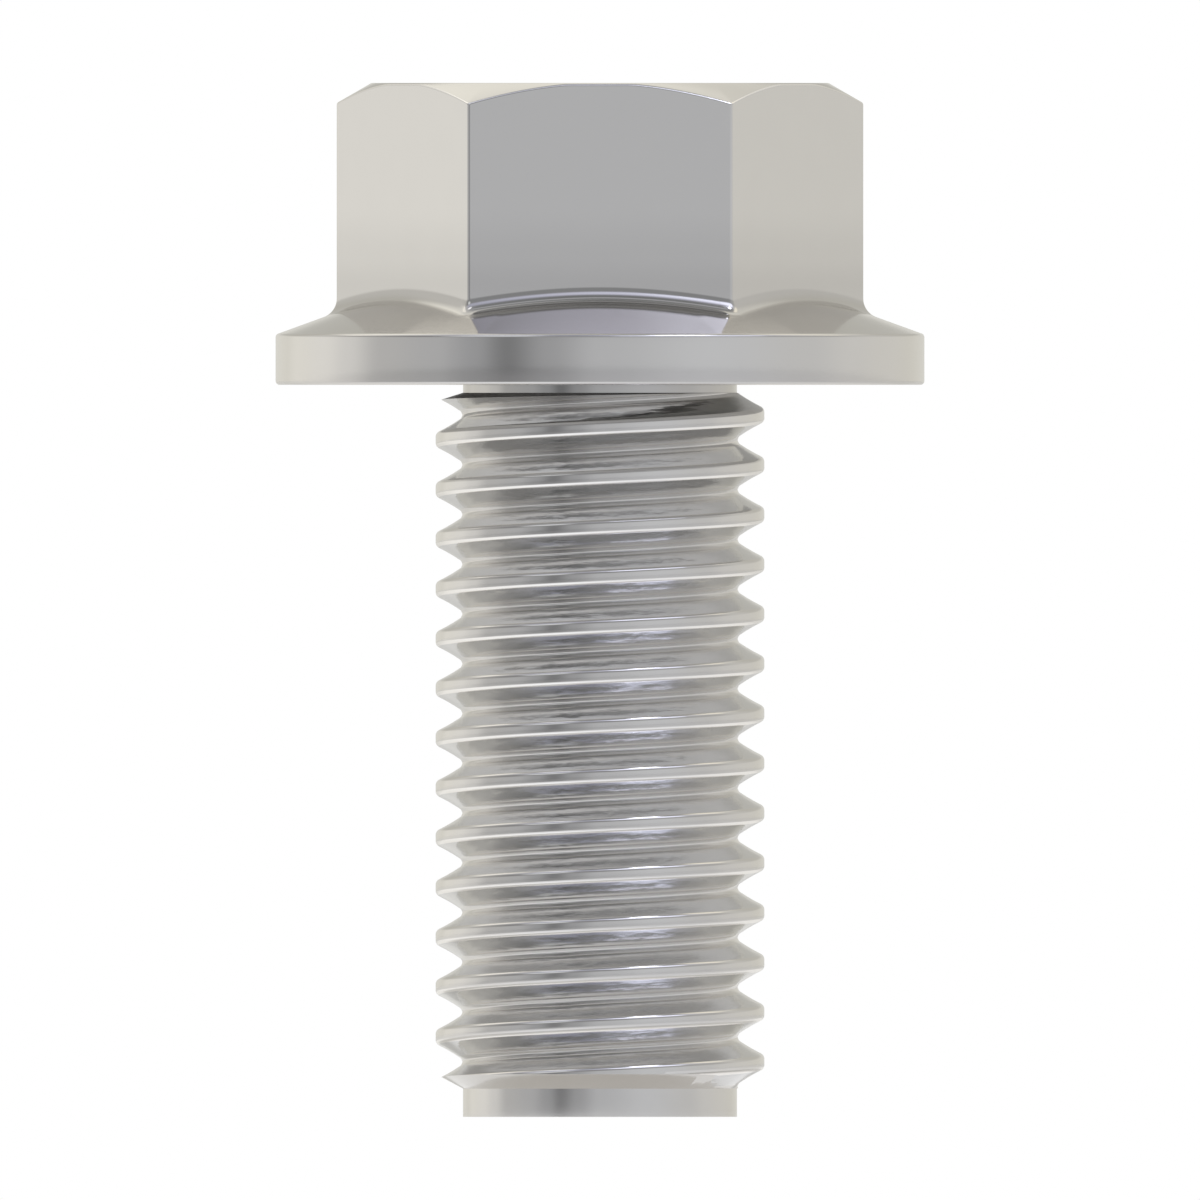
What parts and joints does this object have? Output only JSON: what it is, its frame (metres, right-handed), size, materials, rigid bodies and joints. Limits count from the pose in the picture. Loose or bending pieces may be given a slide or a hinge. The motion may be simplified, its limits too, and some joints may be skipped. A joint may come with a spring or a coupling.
{
  "type": "flange bolt",
  "caption": "Steel flange bolt: hexagon head forged with a coned round flange, right-hand helical thread up to the flange and a short plain pilot at the flat end.",
  "frame": {"origin": "centre of the bearing face under the flange", "axes": "+Z runs along the bolt's axis from the threaded end up through the head, and -Y is the outward normal of one flat of the hexagon"},
  "size_m": [0.0196, 0.0196, 0.0312],
  "materials": {
    "steel": "satin polished, bright and uncoated"
  },
  "bodies": {
    "root": {"flange_bolt": "steel"}
  },
  "joints": []
}
